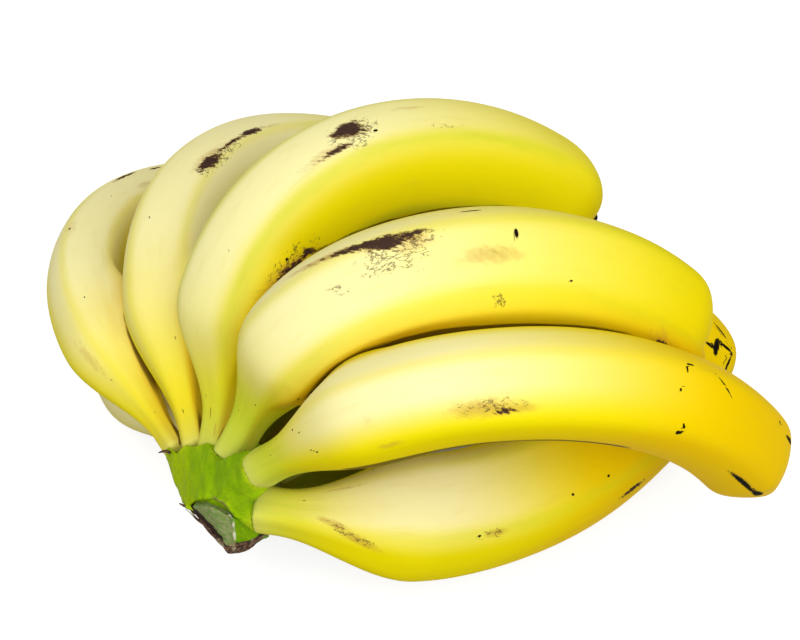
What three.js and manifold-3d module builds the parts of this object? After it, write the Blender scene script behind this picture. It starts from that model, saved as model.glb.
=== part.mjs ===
// A hand of bananas: two rows of curved fingers that grow from one cut crown, lying on a flat surface.
//
// Lengths are millimetres and angles degrees. X runs to the right along the front of the hand, Y goes
// away from the front and Z is up. The lowest fingers touch the plane z = 0, and the origin is under
// the middle of the hand's bounding box.

import * as THREE from "three";
import { ConvexGeometry } from "three/addons/geometries/ConvexGeometry.js";
import { mergeVertices } from "three/addons/utils/BufferGeometryUtils.js";
import Module from "manifold-3d";

// ---- driving dimensions ------------------------------------------------------------------------

const SIDES_ROUND = 20; // facets round a finger, four to each of its five ridges
const RIDGES = 5; // a banana is a rounded pentagon in section
const RIDGE_HEIGHT = 0.03; // share of the radius by which a ridge stands out
const NECK_SHARE = 0.2; // share of the length in which the neck turns into the body's line
const SHOULDER_SHARE = 0.24; // share of the length at which the body reaches its full thickness
const TIP_SHARE = 0.12; // share of the length that rounds off towards the tip
const TIP_THICKNESS = 0.15; // thickness of the blunt end against the body
const JOINT_GAP = 0.3; // parting line between the crown and the foot of a neck
const SEAT_DEPTH = 0.5; // how far the crown's skin rises round the foot of a neck
const SEAT_WIDTH = 1.05; // width of that seat against the neck

const PEEL_COLOR = 0xefdc55;
const CROWN_COLOR = 0x8bab21;

// The middle of the crown, from which every neck leaves, and its height above the surface.
const CROWN_MIDDLE = new THREE.Vector3(0, 0, 36);

// The crown's skin is stretched over the seats of the necks and over these corners. They are measured
// from the crown's middle.
const CROWN_CORNERS = [
  [-10, 9, -6], // the side away from the fingers
  [-7, 2, -6],
  [-6, 22, -18],
  [1, -7, 4], // the lip over the stub, from left to right
  [8, -10, 3],
  [13, -10, -5],
  [16, 2, -14], // the inner side, over the hollow of the hand
  [3, 14, -17],
];

// The stub that was cut from the bunch's stalk: a wedge that comes out of the crown's lower side.
const STUB_CORNERS = [
  [0, 0, 0],
  [12, -6, -2],
  [4, 10, -8],
  [-7, 3, -6], // the edge of the cut that shows, from left to right
  [-1, -2, -9],
  [6, -8, -13],
  [9, -9, -12],
  [13, -9, -10],
  [18, -8, -6],
  [0, 11, -17], // the edge of the cut underneath
  [9, 4, -21],
  [17, 1, -16],
];

// One finger: `foot` is where its neck leaves the crown, from the crown's middle; `body` and `tip` are
// the headings [from X towards Y, climb] at the end of the neck and at the tip; `neck` is its thickness
// against the body's; `early` moves the bend towards the neck; `roll` turns the ridges.
function finger(name, foot, body, tip, length, thickness, neck, early, roll) {
  const from = new THREE.Vector3(...foot).add(CROWN_MIDDLE);
  return { name, foot: from, body, tip, length, thickness, neck, early, roll };
}

const FINGERS = [
  finger("outer_finger_a", [-12, 24, -1], [125, 13], [21, -25], 221, 26, 0.27, 0.4, 42),
  finger("outer_finger_b", [-5, 19, 5], [105, 31], [21, -36], 210, 29, 0.28, 0.6, 47),
  finger("outer_finger_c", [2, 14, 9], [70, 65], [9, -50], 181, 36, 0.27, 0.5, 43),
  finger("outer_finger_d", [8, 6, 14], [-20, 63], [36, -56], 184, 33, 0.3, 0.6, 46),
  finger("outer_finger_e", [16, -8, 18], [-22, 42], [58, -56], 208, 30, 0.36, 0.8, 48),
  finger("outer_finger_f", [15, -4, 0], [17, -14], [67, 6], 192, 37, 0.36, 0.4, 29),
  finger("inner_finger_a", [0, 34, -12], [150, -4], [16, 5], 165, 26, 0.33, 0.5, 15),
  finger("inner_finger_b", [8, 27, -5], [75, 1], [37, -14], 170, 31, 0.33, 0.1, 25),
  finger("inner_finger_c", [16, 16, -9], [51, -9], [60, 10], 156, 30, 0.33, 0.4, 35),
  finger("inner_finger_d", [19, 10, 3], [34, 12], [55, -35], 151, 30, 0.33, 0.7, 45),
];

// ---- building one finger -----------------------------------------------------------------------

const wasm = await Module();
wasm.setup();
const { Manifold, Mesh } = wasm;

const radians = THREE.MathUtils.degToRad;
const { clamp, smoothstep } = THREE.MathUtils;

// The unit vector with the given heading (from X towards Y) and climb above the surface.
function pointing([heading, climb]) {
  const level = Math.cos(radians(climb));
  return new THREE.Vector3(
    level * Math.cos(radians(heading)),
    level * Math.sin(radians(heading)),
    Math.sin(radians(climb)),
  );
}

// The unit vector that has turned a share of the way from one direction to another.
function turned(from, to, share) {
  const angle = from.angleTo(to);
  if (angle < 1e-4) return from.clone();
  return from
    .clone()
    .multiplyScalar(Math.sin((1 - share) * angle))
    .addScaledVector(to, Math.sin(share * angle))
    .normalize();
}

// Which way a finger runs at a share of its length: the neck turns from the crown into the body's
// line, and the body then bends in one plane to the tip, more at the start where `early` is positive.
function heading(finger, share) {
  const leaves = finger.foot.clone().sub(CROWN_MIDDLE).normalize();
  const body = pointing(finger.body);
  if (share < NECK_SHARE) return turned(leaves, body, share / NECK_SHARE);
  const along = (share - NECK_SHARE) / (1 - NECK_SHARE);
  return turned(body, pointing(finger.tip), along + finger.early * along * (1 - along));
}

// The radius of a finger at a share of its length, before its ridges.
function radiusAt(finger, share) {
  const neck = finger.neck + (1 - finger.neck) * smoothstep(share, 0.03, SHOULDER_SHARE);
  const rounding = clamp((share - 1 + TIP_SHARE) / TIP_SHARE, 0, 1);
  return (finger.thickness / 2) * neck * (1 - (1 - TIP_THICKNESS) * rounding ** 2.6);
}

// Shares of the length where the finger has a ring: closer where the neck widens and the tip rounds.
function ringShares() {
  const shares = [];
  for (let i = 0; i < 8; i += 1) shares.push((SHOULDER_SHARE * i) / 8);
  for (let i = 0; i < 9; i += 1) {
    shares.push(SHOULDER_SHARE + ((1 - TIP_SHARE - SHOULDER_SHARE) * i) / 9);
  }
  for (let i = 0; i <= 7; i += 1) shares.push(1 - TIP_SHARE * (1 - i / 7) ** 1.4);
  return shares;
}

// Points, running directions and side directions along the middle of a finger, one for each share.
function spine(finger, shares) {
  const pieces = 8;
  const point = finger.foot.clone();
  const side = pointing([90, 0]).cross(heading(finger, 0)).normalize();
  side.applyAxisAngle(heading(finger, 0), radians(finger.roll));
  let forward = heading(finger, 0);
  let reached = 0;
  return shares.map((share) => {
    const piece = (share - reached) / pieces;
    for (let i = 1; i <= pieces; i += 1) {
      const next = heading(finger, reached + piece * i);
      point.addScaledVector(forward.clone().add(next), (finger.length * piece) / 2);
      side.applyQuaternion(new THREE.Quaternion().setFromUnitVectors(forward, next));
      forward = next;
    }
    reached = share;
    return { point: point.clone(), forward, side: side.clone() };
  });
}

// A closed surface with only its positions left, and normals worked out again.
function finished(geometry) {
  geometry.deleteAttribute("normal");
  geometry.deleteAttribute("uv");
  const merged = mergeVertices(geometry, 1e-4);
  merged.computeVertexNormals();
  return merged;
}

// A finger is turned as a straight spindle, given its ridges and then bent along its spine. It can be
// made larger by a clearance all round.
function fingerGeometry(finger, clearance = 0) {
  const shares = ringShares();
  const rings = spine(finger, shares);
  const outline = shares.map(
    (share) => new THREE.Vector2(radiusAt(finger, share) + clearance, share * finger.length),
  );
  outline.unshift(new THREE.Vector2(0, 0));
  outline.push(new THREE.Vector2(0, finger.length));
  rings[0].point.addScaledVector(rings[0].forward, -clearance);
  const stations = [rings[0], ...rings, rings.at(-1)];

  const geometry = new THREE.LatheGeometry(outline, SIDES_ROUND);
  const corners = geometry.getAttribute("position");
  for (let i = 0; i < corners.count; i += 1) {
    const { point, forward, side } = stations[i % outline.length];
    const across = corners.getX(i);
    const other = corners.getZ(i);
    const ridge = 1 + RIDGE_HEIGHT * Math.cos(RIDGES * Math.atan2(other, across));
    const corner = point
      .clone()
      .addScaledVector(side, across * ridge)
      .addScaledVector(side.clone().cross(forward), other * ridge);
    corners.setXYZ(i, corner.x, corner.y, corner.z);
  }
  return finished(geometry);
}

// ---- building the crown ------------------------------------------------------------------------

// The edge of the seat round the foot of one neck.
function seat(finger) {
  const leaves = finger.foot.clone().sub(CROWN_MIDDLE).normalize();
  const radius = (finger.thickness / 2) * finger.neck * SEAT_WIDTH;
  const centre = finger.foot.clone().addScaledVector(leaves, SEAT_DEPTH);
  const side = pointing([90, 0]).cross(leaves).setLength(radius);
  const corners = [];
  for (let i = 0; i < 12; i += 1) {
    corners.push(side.clone().applyAxisAngle(leaves, (i / 12) * 2 * Math.PI).add(centre));
  }
  return corners;
}

function solid(geometry) {
  const { position } = geometry.attributes;
  const triVerts = new Uint32Array(geometry.index.array);
  return new Manifold(new Mesh({ numProp: 3, vertProperties: position.array, triVerts }));
}

function skinOver(corners) {
  return solid(finished(new ConvexGeometry(corners)));
}

// The crown and its stub, with a seat cut out for every neck.
function crownGeometry(fingers) {
  const fromMiddle = (corner) => new THREE.Vector3(...corner).add(CROWN_MIDDLE);
  const skin = skinOver([...CROWN_CORNERS.map(fromMiddle), ...fingers.flatMap(seat)]);
  const stub = skinOver(STUB_CORNERS.map(fromMiddle));
  let crown = skin.add(stub);
  for (const finger of fingers) crown = crown.subtract(solid(fingerGeometry(finger, JOINT_GAP)));

  const { vertProperties, triVerts } = crown.getMesh();
  const geometry = new THREE.BufferGeometry();
  geometry.setAttribute("position", new THREE.BufferAttribute(vertProperties, 3));
  geometry.setIndex(new THREE.BufferAttribute(triVerts, 1));
  geometry.computeVertexNormals();
  return geometry;
}

// ---- the hand ----------------------------------------------------------------------------------

function named(name, geometry, color) {
  const material = new THREE.MeshStandardMaterial({ color, roughness: 0.5, metalness: 0 });
  const mesh = new THREE.Mesh(geometry, material);
  mesh.name = name;
  return mesh;
}

const hand = new THREE.Group();
hand.add(named("crown", crownGeometry(FINGERS), CROWN_COLOR));
for (const finger of FINGERS) hand.add(named(finger.name, fingerGeometry(finger), PEEL_COLOR));

// The origin is under the middle of the box round the hand, on the surface that the hand lies on.
const box = new THREE.Box3().setFromObject(hand);
const middle = box.getCenter(new THREE.Vector3());
hand.position.set(-middle.x, -middle.y, -box.min.z);

const part = new THREE.Group();
part.name = "hand_of_bananas";
part.add(hand);

export default part;
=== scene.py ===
"""A hand of bananas: a green cut crown with two rows of curved fingers, dressed around the CAD model."""

import math
from typing import NamedTuple

import bmesh
import bpy
import numpy as np
from mathutils import Matrix, Vector, noise
from mathutils.bvhtree import BVHTree


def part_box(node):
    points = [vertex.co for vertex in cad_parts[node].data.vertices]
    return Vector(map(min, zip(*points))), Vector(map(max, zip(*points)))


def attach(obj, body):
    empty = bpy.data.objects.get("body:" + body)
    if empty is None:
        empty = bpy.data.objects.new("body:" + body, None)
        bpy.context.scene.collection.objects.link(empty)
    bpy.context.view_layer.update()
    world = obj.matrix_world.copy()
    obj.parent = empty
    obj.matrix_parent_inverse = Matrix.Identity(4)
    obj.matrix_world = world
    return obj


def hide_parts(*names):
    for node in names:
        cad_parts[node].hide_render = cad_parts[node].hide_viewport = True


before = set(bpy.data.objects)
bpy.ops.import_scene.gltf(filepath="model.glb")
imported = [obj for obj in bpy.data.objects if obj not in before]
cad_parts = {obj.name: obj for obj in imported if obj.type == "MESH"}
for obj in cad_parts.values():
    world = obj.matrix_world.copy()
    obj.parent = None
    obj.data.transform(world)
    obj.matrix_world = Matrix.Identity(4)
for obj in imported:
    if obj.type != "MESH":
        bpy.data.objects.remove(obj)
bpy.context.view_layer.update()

bl_info = {
    "name": "Hand of bananas",
    "version": (1, 0, 0),
    "blender": (4, 5, 0),
    "location": "3D View > Sidebar > Hand of bananas",
    "description": "Dresses the CAD model of a hand of bananas",
    "category": "Object",
}

MM = 0.001
SIDES = 20  # corners round one finger of the CAD model
RIDGES = 5  # a banana is a rounded pentagon in section
SAME_PLACE = 1e-6  # corners nearer than this are one

OUTER_ROW = ["outer_finger_" + letter for letter in "abcdef"]
INNER_ROW = ["inner_finger_" + letter for letter in "abcd"]


class Look(NamedTuple):
    """How one finger differs. Angles go round it from the ridge that is on top, in degrees, and shares
    are of its length."""

    face: float  # middle of the pale face: painted sheen, partly real bleaching
    spread: float  # how far that face reaches to each side
    wake: tuple  # shares between which the pale face begins
    fade: tuple  # shares between which it turns yellow again
    neck: float  # millimetres of green neck
    green: float  # how green that neck is, up to 1
    fresh: float  # how green the rest of the finger still is
    ripe: tuple  # shares between which the peel turns golden
    gold: float  # how golden it is by then
    olive_shade: float = 0  # how much painted shade darkens the neck to olive
    slant: tuple = (0, 3)  # which way the dry tip leans, and by how many millimetres
    swing: float = 0  # millimetres by which the end turns to the right
    sink: float = 0.8  # millimetres by which the foot is set into the crown
    slim: float = 0  # share by which the finger is thinner behind its neck


# The values stand in the order of those fields.
LOOKS = {
    "outer_finger_a": Look(340, 122, (-0.08, 0.36), (0.6, 1.2), 14, 0.1, 0.03, (0.7, 1.1), 0.5, sink=3.2),
    "outer_finger_b": Look(30, 130, (-0.05, 0.34), (0.6, 1.2), 16, 0.15, 0.03, (0.7, 1.1), 0.5, sink=3.2),
    "outer_finger_c": Look(
        345, 100, (-0.05, 0.3), (0.45, 1.15), 30, 0.5, 0.13, (0.7, 1.1), 0.3, swing=4.6, sink=3.2
    ),
    "outer_finger_d": Look(
        345, 100, (-0.05, 0.3), (0.28, 0.98), 40, 0.85, 0.06, (0.6, 1.1), 0.5, swing=1.5, sink=3.8
    ),
    "outer_finger_e": Look(
        358, 82, (-0.1, 0.28), (0.3, 0.72), 36, 0.85, 0, (0.3, 0.8), 0.85, slant=(285, 6)
    ),
    "outer_finger_f": Look(335, 82, (-0.08, 0.2), (0.24, 0.56), 26, 0.5, 0.08, (0.3, 0.6), 0.75),
    "inner_finger_a": Look(330, 300, (-0.7, -0.4), (0.3, 0.8), 20, 0.2, 0, (0.3, 0.9), 0.8, slim=0.34),
    "inner_finger_b": Look(0, 80, (0, 0.3), (0.3, 0.8), 50, 0.8, 0.1, (0.3, 0.9), 0.6, olive_shade=0.8),
    "inner_finger_c": Look(0, 80, (0, 0.3), (0.3, 0.8), 50, 0.8, 0.1, (0.3, 0.9), 0.6, olive_shade=0.7),
    "inner_finger_d": Look(0, 80, (0, 0.3), (0.3, 0.8), 60, 0.8, 0.1, (0.3, 0.9), 0.6, olive_shade=0.6),
}


class Mark(NamedTuple):
    """One mark on the peel: millimetres along the finger, degrees round it, and half its length and
    width in millimetres. `lean` turns its long side, in degrees, and `strength` is up to 1."""

    kind: str
    along: float
    round: float
    long: float
    wide: float
    lean: float = 0
    strength: float = 1


# A bruise is dark and ragged, a scar is tan and rubbed, lace is loose brown threads, and a crack is
# thin and black.
MARKS = {
    "outer_finger_a": [
        Mark("bruise", 136, 346, 6, 1.4),
        Mark("bruise", 150, 336, 3, 1),
        Mark("scar", 134, 302, 5, 2.5, 0, 0.7),
        Mark("scar", 95, 352, 6, 3, 0, 0.5),
        Mark("crack", 95, 354, 0.6, 0.5),
        Mark("scar", 42, 22, 9, 3, 0, 0.6),
        Mark("crack", 60, 340, 0.4, 0.3),
        Mark("crack", 118, 322, 0.4, 0.3),
    ],
    "outer_finger_b": [
        Mark("bruise", 95, 9, 5.5, 2.6, -8),
        Mark("scar", 98, 14, 9, 3, -8, 0.8),
        Mark("bruise", 108, 9, 8, 0.8, 0, 0.85),
        Mark("scar", 108, 9, 8, 1.6, 0, 0.8),
        Mark("bruise", 119, 9, 5.5, 1.6),
        Mark("lace", 100, 4, 13, 3),
        Mark("scar", 128, 8, 6, 1, 0, 0.7),
        Mark("crack", 9, 45, 0.8, 0.5),
        Mark("crack", 70, 50, 0.4, 0.3),
    ],
    "outer_finger_c": [
        Mark("bruise", 95.5, 320, 3.6, 3.6),
        Mark("bruise", 93, 324, 2.4, 1.6),
        Mark("bruise", 88.5, 304, 5.5, 1, 0, 0.8),
        Mark("scar", 86, 306, 7, 2, 0, 0.7),
        Mark("lace", 95, 316, 7, 6),
        Mark("crack", 100, 308, 0.6, 0.5),
        Mark("bruise", 58, 252, 7, 1.4, -25, 0.9),
        Mark("bruise", 65, 244, 4, 1.2, -25, 0.8),
        Mark("scar", 58, 254, 11, 2.4, -25, 1),
        Mark("lace", 62, 254, 10, 3, -20, 0.9),
        Mark("crack", 60, 260, 0.5, 0.4),
        Mark("crack", 55, 312, 0.3, 0.3),
        Mark("scar", 4, 292, 1.8, 1.4, 0, 0.9),
        Mark("crack", 8, 318, 1.8, 0.35, 15),
        Mark("scar", 111, 332, 5, 1.3, 0, 0.6),
        Mark("lace", 116, 300, 6, 2, 0, 0.6),
        Mark("crack", 173, 300, 1.5, 0.5, 60),
    ],
    "outer_finger_d": [
        Mark("bruise", 78, 355, 6, 2.3, -11),
        Mark("bruise", 72, 1, 8, 1.2, -11),
        Mark("bruise", 83.5, 356, 3, 0.8, 10),
        Mark("scar", 64, 7, 9, 1.6, -11),
        Mark("scar", 83, 348, 5, 3, 0, 0.8),
        Mark("lace", 83, 350, 6, 4),
        Mark("lace", 78, 336, 9, 5),
        Mark("lace", 66, 330, 6, 3, 0, 0.6),
        Mark("crack", 105, 343, 0.5, 1.6),
        Mark("scar", 99, 323, 7, 2.8, 0, 0.9),
        Mark("crack", 97, 19, 2.5, 0.5),
        Mark("lace", 100, 283, 3, 1.6, 0, 0.75),
        Mark("bruise", 152, 273, 4.5, 1.3),
        Mark("scar", 150, 278, 6, 2, 0, 0.7),
        Mark("crack", 38, 267, 0.6, 0.5),
        Mark("crack", 42, 262, 0.5, 0.4),
        Mark("crack", 20, 300, 0.4, 0.3),
        Mark("crack", 118, 300, 0.4, 0.3),
    ],
    "outer_finger_e": [
        Mark("scar", 78, 306, 8, 2.8),
        Mark("scar", 75, 307, 4, 1.5),
        Mark("scar", 82, 302, 4.5, 1.8),
        Mark("bruise", 83, 301, 2.4, 1, 0, 0.95),
        Mark("scar", 86, 303, 4, 1.6),
        Mark("lace", 80, 308, 9, 3, 0, 0.75),
        Mark("scar", 55, 286, 4, 1.2, 0, 0.8),
        Mark("crack", 128, 357, 0.4, 1.9),
        Mark("crack", 129.5, 2, 1.2, 0.4),
        Mark("crack", 126, 332, 0.4, 0.7),
        Mark("crack", 130, 295, 0.4, 1.5, 30),
        Mark("crack", 129, 288, 0.7, 0.9, 30),
        Mark("crack", 142, 350, 4.2, 0.35, -42),
        Mark("scar", 136, 1, 5, 1, 0, 0.5),
        Mark("crack", 176, 265, 12, 1.1),
        Mark("crack", 190, 268, 4.5, 1.8),
        Mark("scar", 176, 266, 13, 1.6, 0, 0.8),
        Mark("crack", 186, 343, 3.5, 0.9),
        Mark("crack", 175, 350, 0.7, 0.5),
        Mark("crack", 28, 348, 0.4, 0.4),
        Mark("crack", 31, 338, 0.4, 0.3),
        Mark("crack", 33, 309, 0.4, 0.3),
        Mark("crack", 35, 304, 0.5, 0.3),
        Mark("scar", 52, 318, 2, 2, 0, 0.5),
    ],
    "outer_finger_f": [
        Mark("scar", 21, 296, 5, 1.6, -30),
        Mark("scar", 27, 279, 6, 1.8, -30),
        Mark("lace", 25, 284, 9, 2, -30, 0.9),
        Mark("scar", 23, 352, 6, 0.8, 0, 0.7),
        Mark("crack", 57, 286, 0.6, 0.4),
        Mark("scar", 62, 286, 3.5, 1.2),
        Mark("lace", 62, 287, 5, 2, 0, 0.8),
        Mark("crack", 88, 298, 0.5, 0.4),
        Mark("crack", 102, 298, 0.5, 0.4),
        Mark("bruise", 113, 262, 5, 1.3),
        Mark("crack", 169, 314, 3.2, 1.2, 20),
        Mark("crack", 168, 322, 0.8, 1.8, 20),
        Mark("crack", 172, 304, 0.6, 3.2, 15),
        Mark("crack", 176, 318, 0.5, 3.6, -15),
        Mark("crack", 168, 292, 4.5, 0.5, 10),
    ],
    "inner_finger_a": [Mark("scar", 40, 40, 14, 3, 0, 0.8), Mark("lace", 60, 60, 12, 2)],
    "inner_finger_b": [Mark("scar", 90, 20, 8, 3), Mark("bruise", 120, 300, 5, 1.5)],
    "inner_finger_c": [Mark("bruise", 70, 180, 6, 2), Mark("lace", 100, 60, 8, 3)],
    "inner_finger_d": [Mark("scar", 80, 180, 9, 2), Mark("crack", 110, 40, 1, 0.6)],
}

# The painted shade line along which the next finger lies against this one: millimetres along it, and
# degrees round it.
CONTACT_SHADE_LINES = {
    "outer_finger_c": [
        (66, 238), (73, 228), (81, 221), (88, 215), (104, 204), (116, 212), (128, 216), (146, 227)
    ],
    "outer_finger_d": [
        (46, 261), (65, 260), (84, 261), (96, 258), (105, 257), (118, 259), (130, 265), (143, 272)
    ],
    "outer_finger_e": [
        (34, 258), (44, 256), (56, 248), (66, 243), (77, 240), (86, 236), (99, 238), (128, 232)
    ],
}

# The crown's skin is stretched over the feet of the necks and over these corners, and the stub of the
# cut stalk comes out of it. Both are measured from the crown's middle in millimetres.
SKIN_CORNERS = [
    (-10, 9, -6),  # the side away from the fingers
    (-7, 2, -6),
    (-6, 22, -18),
    (1, -7, 4),  # over the stub, from left to right
    (8, -10, 3),
    (13, -10, -5),
    (16, 2, -14),  # the inner side, over the hollow of the hand
    (3, 14, -17),
]

# The lip in which the skin ends over the stub, and the edge of the stub's cut, from left to right.
LIP = [
    (-10, 4, -5),
    (-7, 2, -5),
    (-3, -2, 1),
    (2, -6, 5.5),
    (5, -8, 5.5),
    (8, -10, 3),
    (13, -9, -4),
    (16, -8, -7),
]
CUT_EDGE = [(-7, 3, -6), (-1, -2, -9), (6, -8, -13), (9, -9, -12), (13, -9, -10), (18, -8, -6)]

# The rest of the stub: the underside of its cut, its corners under the skin, and the pale crack down
# its front.
CUT_UNDER = [(17, 1, -16), (9, 4, -21), (0, 11, -17)]
STUB_TOP = [(0, 0, 0), (12, -6, -2), (4, 10, -8), (1, -6, 2), (8, -9, 1)]
SPLIT = [(7, -8, 1), (8, -8.4, -1), (8, -8.4, -7), (8, -7.4, -13)]


def linear(code):
    """A colour written as six hexadecimal digits, as the RGBA that a shader socket takes."""
    channels = [int(code[i : i + 2], 16) / 255 for i in (0, 2, 4)]
    return [c / 12.92 if c <= 0.04045 else ((c + 0.055) / 1.055) ** 2.4 for c in channels] + [1.0]


# ---- shader expressions -------------------------------------------------------------------------


class Socket:
    """One output of a shader node; arithmetic on it adds Math nodes to its material."""

    def __init__(self, paint, output):
        self.paint = paint
        self.output = output

    def math(self, operation, *values):
        return self.paint.node("ShaderNodeMath", dict(operation=operation), (self, *values))

    def __add__(self, other):
        return self.math("ADD", other)

    def __sub__(self, other):
        return self.math("SUBTRACT", other)

    def __mul__(self, other):
        return self.math("MULTIPLY", other)

    def __rsub__(self, other):
        return self.paint.node("ShaderNodeMath", dict(operation="SUBTRACT"), (other, self))

    __radd__ = __add__
    __rmul__ = __mul__

    def maximum(self, other):
        return self.math("MAXIMUM", other)

    def step(self, low, high):
        """0 below low, 1 above high and smooth between them."""
        settings = dict(interpolation_type="SMOOTHSTEP")
        return self.paint.node("ShaderNodeMapRange", settings, (self, low, high, 0.0, 1.0))


class Paint:
    """A material's node tree: one method adds any node, and the others name the ones used most."""

    def __init__(self, name, tree=None):
        if tree is None:
            self.material = bpy.data.materials.new(name)
            self.material.use_nodes = True
            tree = self.material.node_tree
        self.tree = tree
        self.tree.nodes.clear()

    def node(self, kind, settings=None, inputs=(), output=0):
        """A node of this kind, with its settings made first and then its sockets' values or links."""
        made = self.tree.nodes.new(kind)
        for key, value in (settings or {}).items():
            setattr(made, key, value)
        pairs = inputs.items() if isinstance(inputs, dict) else enumerate(inputs)
        for key, value in pairs:
            if isinstance(value, Socket):
                self.tree.links.new(value.output, made.inputs[key])
            elif value is not None:
                made.inputs[key].default_value = value
        return Socket(self, made.outputs[output]) if made.outputs else None

    def attribute(self, name):
        return self.node("ShaderNodeAttribute", dict(attribute_name=name), output="Fac")

    def vector(self, operation, *values, output="Vector"):
        return self.node("ShaderNodeVectorMath", dict(operation=operation), values, output)

    def place(self, name, stretch):
        """The vector attribute of that name, scaled by stretch along its three axes."""
        read = self.node("ShaderNodeAttribute", dict(attribute_name=name), output="Vector")
        return self.vector("MULTIPLY", read, stretch)

    def noise(self, place, scale, detail, roughness=0.5):
        inputs = {"Vector": place, "Scale": scale, "Detail": detail, "Roughness": roughness}
        return self.node("ShaderNodeTexNoise", None, inputs)

    def mix(self, factor, below, above):
        """A colour that goes from below to above as factor goes from 0 to 1."""
        made = self.tree.nodes.new("ShaderNodeMix")
        made.data_type = "RGBA"
        colour_sockets = [s for s in made.inputs if s.type == "RGBA"]
        for socket, value in zip([made.inputs[0], *colour_sockets], [factor, below, above]):
            if isinstance(value, Socket):
                self.tree.links.new(value.output, socket)
            else:
                socket.default_value = value
        return Socket(self, [s for s in made.outputs if s.type == "RGBA"][0])

    def bump(self, height, distance, strength):
        inputs = {"Strength": strength, "Distance": distance, "Height": height}
        return self.node("ShaderNodeBump", None, inputs)

    def finish(self, **inputs):
        """Ends the tree in a Principled shader with these sockets, and returns the material."""
        named = {key.replace("_", " "): value for key, value in inputs.items()}
        shader = self.node("ShaderNodeBsdfPrincipled", None, named)
        self.node("ShaderNodeOutputMaterial", None, {"Surface": shader})
        return self.material


# ---- materials ----------------------------------------------------------------------------------

# A low index of refraction and a low specular level keep the gloss of each surface soft.
WAXY = 1.2
PEEL_GLOSS = 0.03
CROWN_GLOSS = 0.08
STUB_GLOSS = 0.15
FIBRE_GLOSS = 0.25


def ripe_color(paint, settings, straight, grain):
    """The peel without its marks: yellow, pale with a painted sheen that is partly real bleaching, green at
    the neck, with painted shade in creases, underneath and where fingers meet.
    """
    cloud = paint.noise(straight, 26, 2.0)
    bleach_and_sheen = paint.attribute("bleach_and_sheen")
    green = paint.attribute("green")
    warm = paint.attribute("warm") + (cloud - 0.5) * 0.3
    contact_shade = paint.attribute("contact_shade") + (grain - 0.5) * 0.5
    # Warm yellow: ripening, and painted shade on the undersides.
    color = paint.mix(warm.step(0.0, 1.0), settings.deep, settings.warm)
    # Pale face: painted sheen, partly real bleaching.
    color = paint.mix(bleach_and_sheen + bleach_and_sheen * (cloud - 0.5) * 0.5, color, settings.pale)
    color = paint.mix((green + green * (grain - 0.5) * 0.8).step(-0.1, 1.1), color, settings.green)
    color = paint.mix((grain - 0.5).step(0.02, 0.3) * 0.14, color, settings.grain)
    color = paint.mix(paint.attribute("foot") * 0.6, color, settings.foot)
    # Painted shade, dark olive, on the inner necks.
    color = paint.mix(paint.attribute("olive_shade"), color, settings.olive_shade)
    # Painted shade where the next finger shelters the peel.
    color = paint.mix(paint.attribute("shaded").step(0.05, 0.75) * 0.55, color, settings.crease)
    # Painted shade, dark brown, where fingers meet.
    return paint.mix(contact_shade.step(0.3, 0.9) * 0.85, color, settings.contact_shade_color)


def speckled(paint, settings, color):
    """That colour with tiny brown specks, a few to each square centimetre."""
    cell = {"Vector": paint.place("straight", (1, 1, 0.7)), "Scale": 190.0, "Randomness": 1.0}
    speck = paint.node("ShaderNodeTexVoronoi", None, cell, "Distance")
    chosen = paint.node("ShaderNodeTexVoronoi", None, cell, "Color")
    rare = paint.node("ShaderNodeSeparateColor", None, (chosen,))
    specks = (0.1 - speck).step(0.0, 0.04) * rare.step(0.95, 0.97)
    return paint.mix(specks * 0.7, color, settings.brown)


def marked(paint, settings, color, straight):
    """That colour with scars, threads, bruises, cracks and a dry tip, and a mask of the hurt peel.

    Ragged edges come from noise that is drawn out aslant round the finger. The loose threads round a
    bruise are the lines in which a noise passes its middle value, broken up by a coarser one."""
    bruise, scar, lace, tip = map(paint.attribute, ("bruise", "scar", "lace", "tip"))
    along = paint.node("ShaderNodeSeparateXYZ", None, (straight,), "Z")
    twist = {"Vector": straight, "Angle": along * 60.0}
    twisted = paint.node("ShaderNodeVectorRotate", dict(rotation_type="Z_AXIS"), twist)
    feather = paint.noise(paint.vector("MULTIPLY", twisted, (1, 1, 0.3)), 900, 5.0, 0.7)
    coast = paint.noise(straight, 420, 5.0, 0.75)
    torn = (feather - 0.5) * 1.8 + (coast - 0.5) * 1.9

    thread = paint.noise(paint.place("straight", (1, 1, 0.7)), 520, 3.0, 0.6)
    breaks = paint.noise(straight, 330, 3.0, 0.7)
    threads = (0.042 - (thread - 0.5).math("ABSOLUTE")).step(0.0, 0.02)
    threads = threads * (lace + (breaks - 0.5) * 2.2).step(0.45, 0.75) * lace.step(0.0, 0.3)

    smear = (scar + torn * scar.step(0.0, 0.3) * 0.5).step(0.15, 1.0)
    streaks = (scar + (feather - 0.5) * 2.6 + (coast - 0.5) * 2).step(1.0, 1.5)
    core = bruise + torn * bruise.step(0.0, 0.35) * 0.9
    brown = core.step(0.25, 0.55)
    dark = core.step(0.42, 0.7)
    reach = paint.vector("LENGTH", paint.place("crack", (1, 1, 1)), output="Value")
    black = 1 - (reach + torn * 0.45).step(0.75, 1.15)

    color = paint.mix(smear * 0.55, color, settings.scar)
    color = paint.mix(streaks * scar.step(0.0, 0.3) * 0.7, color, settings.brown)
    color = paint.mix(threads * 0.65, color, settings.bruise)
    color = paint.mix(brown * 0.85, color, settings.brown)
    color = paint.mix(dark * 0.95, color, settings.bruise)
    color = paint.mix(black.maximum(tip.step(0.35, 0.75)), color, settings.black)
    return color, dark.maximum(black)


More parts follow.
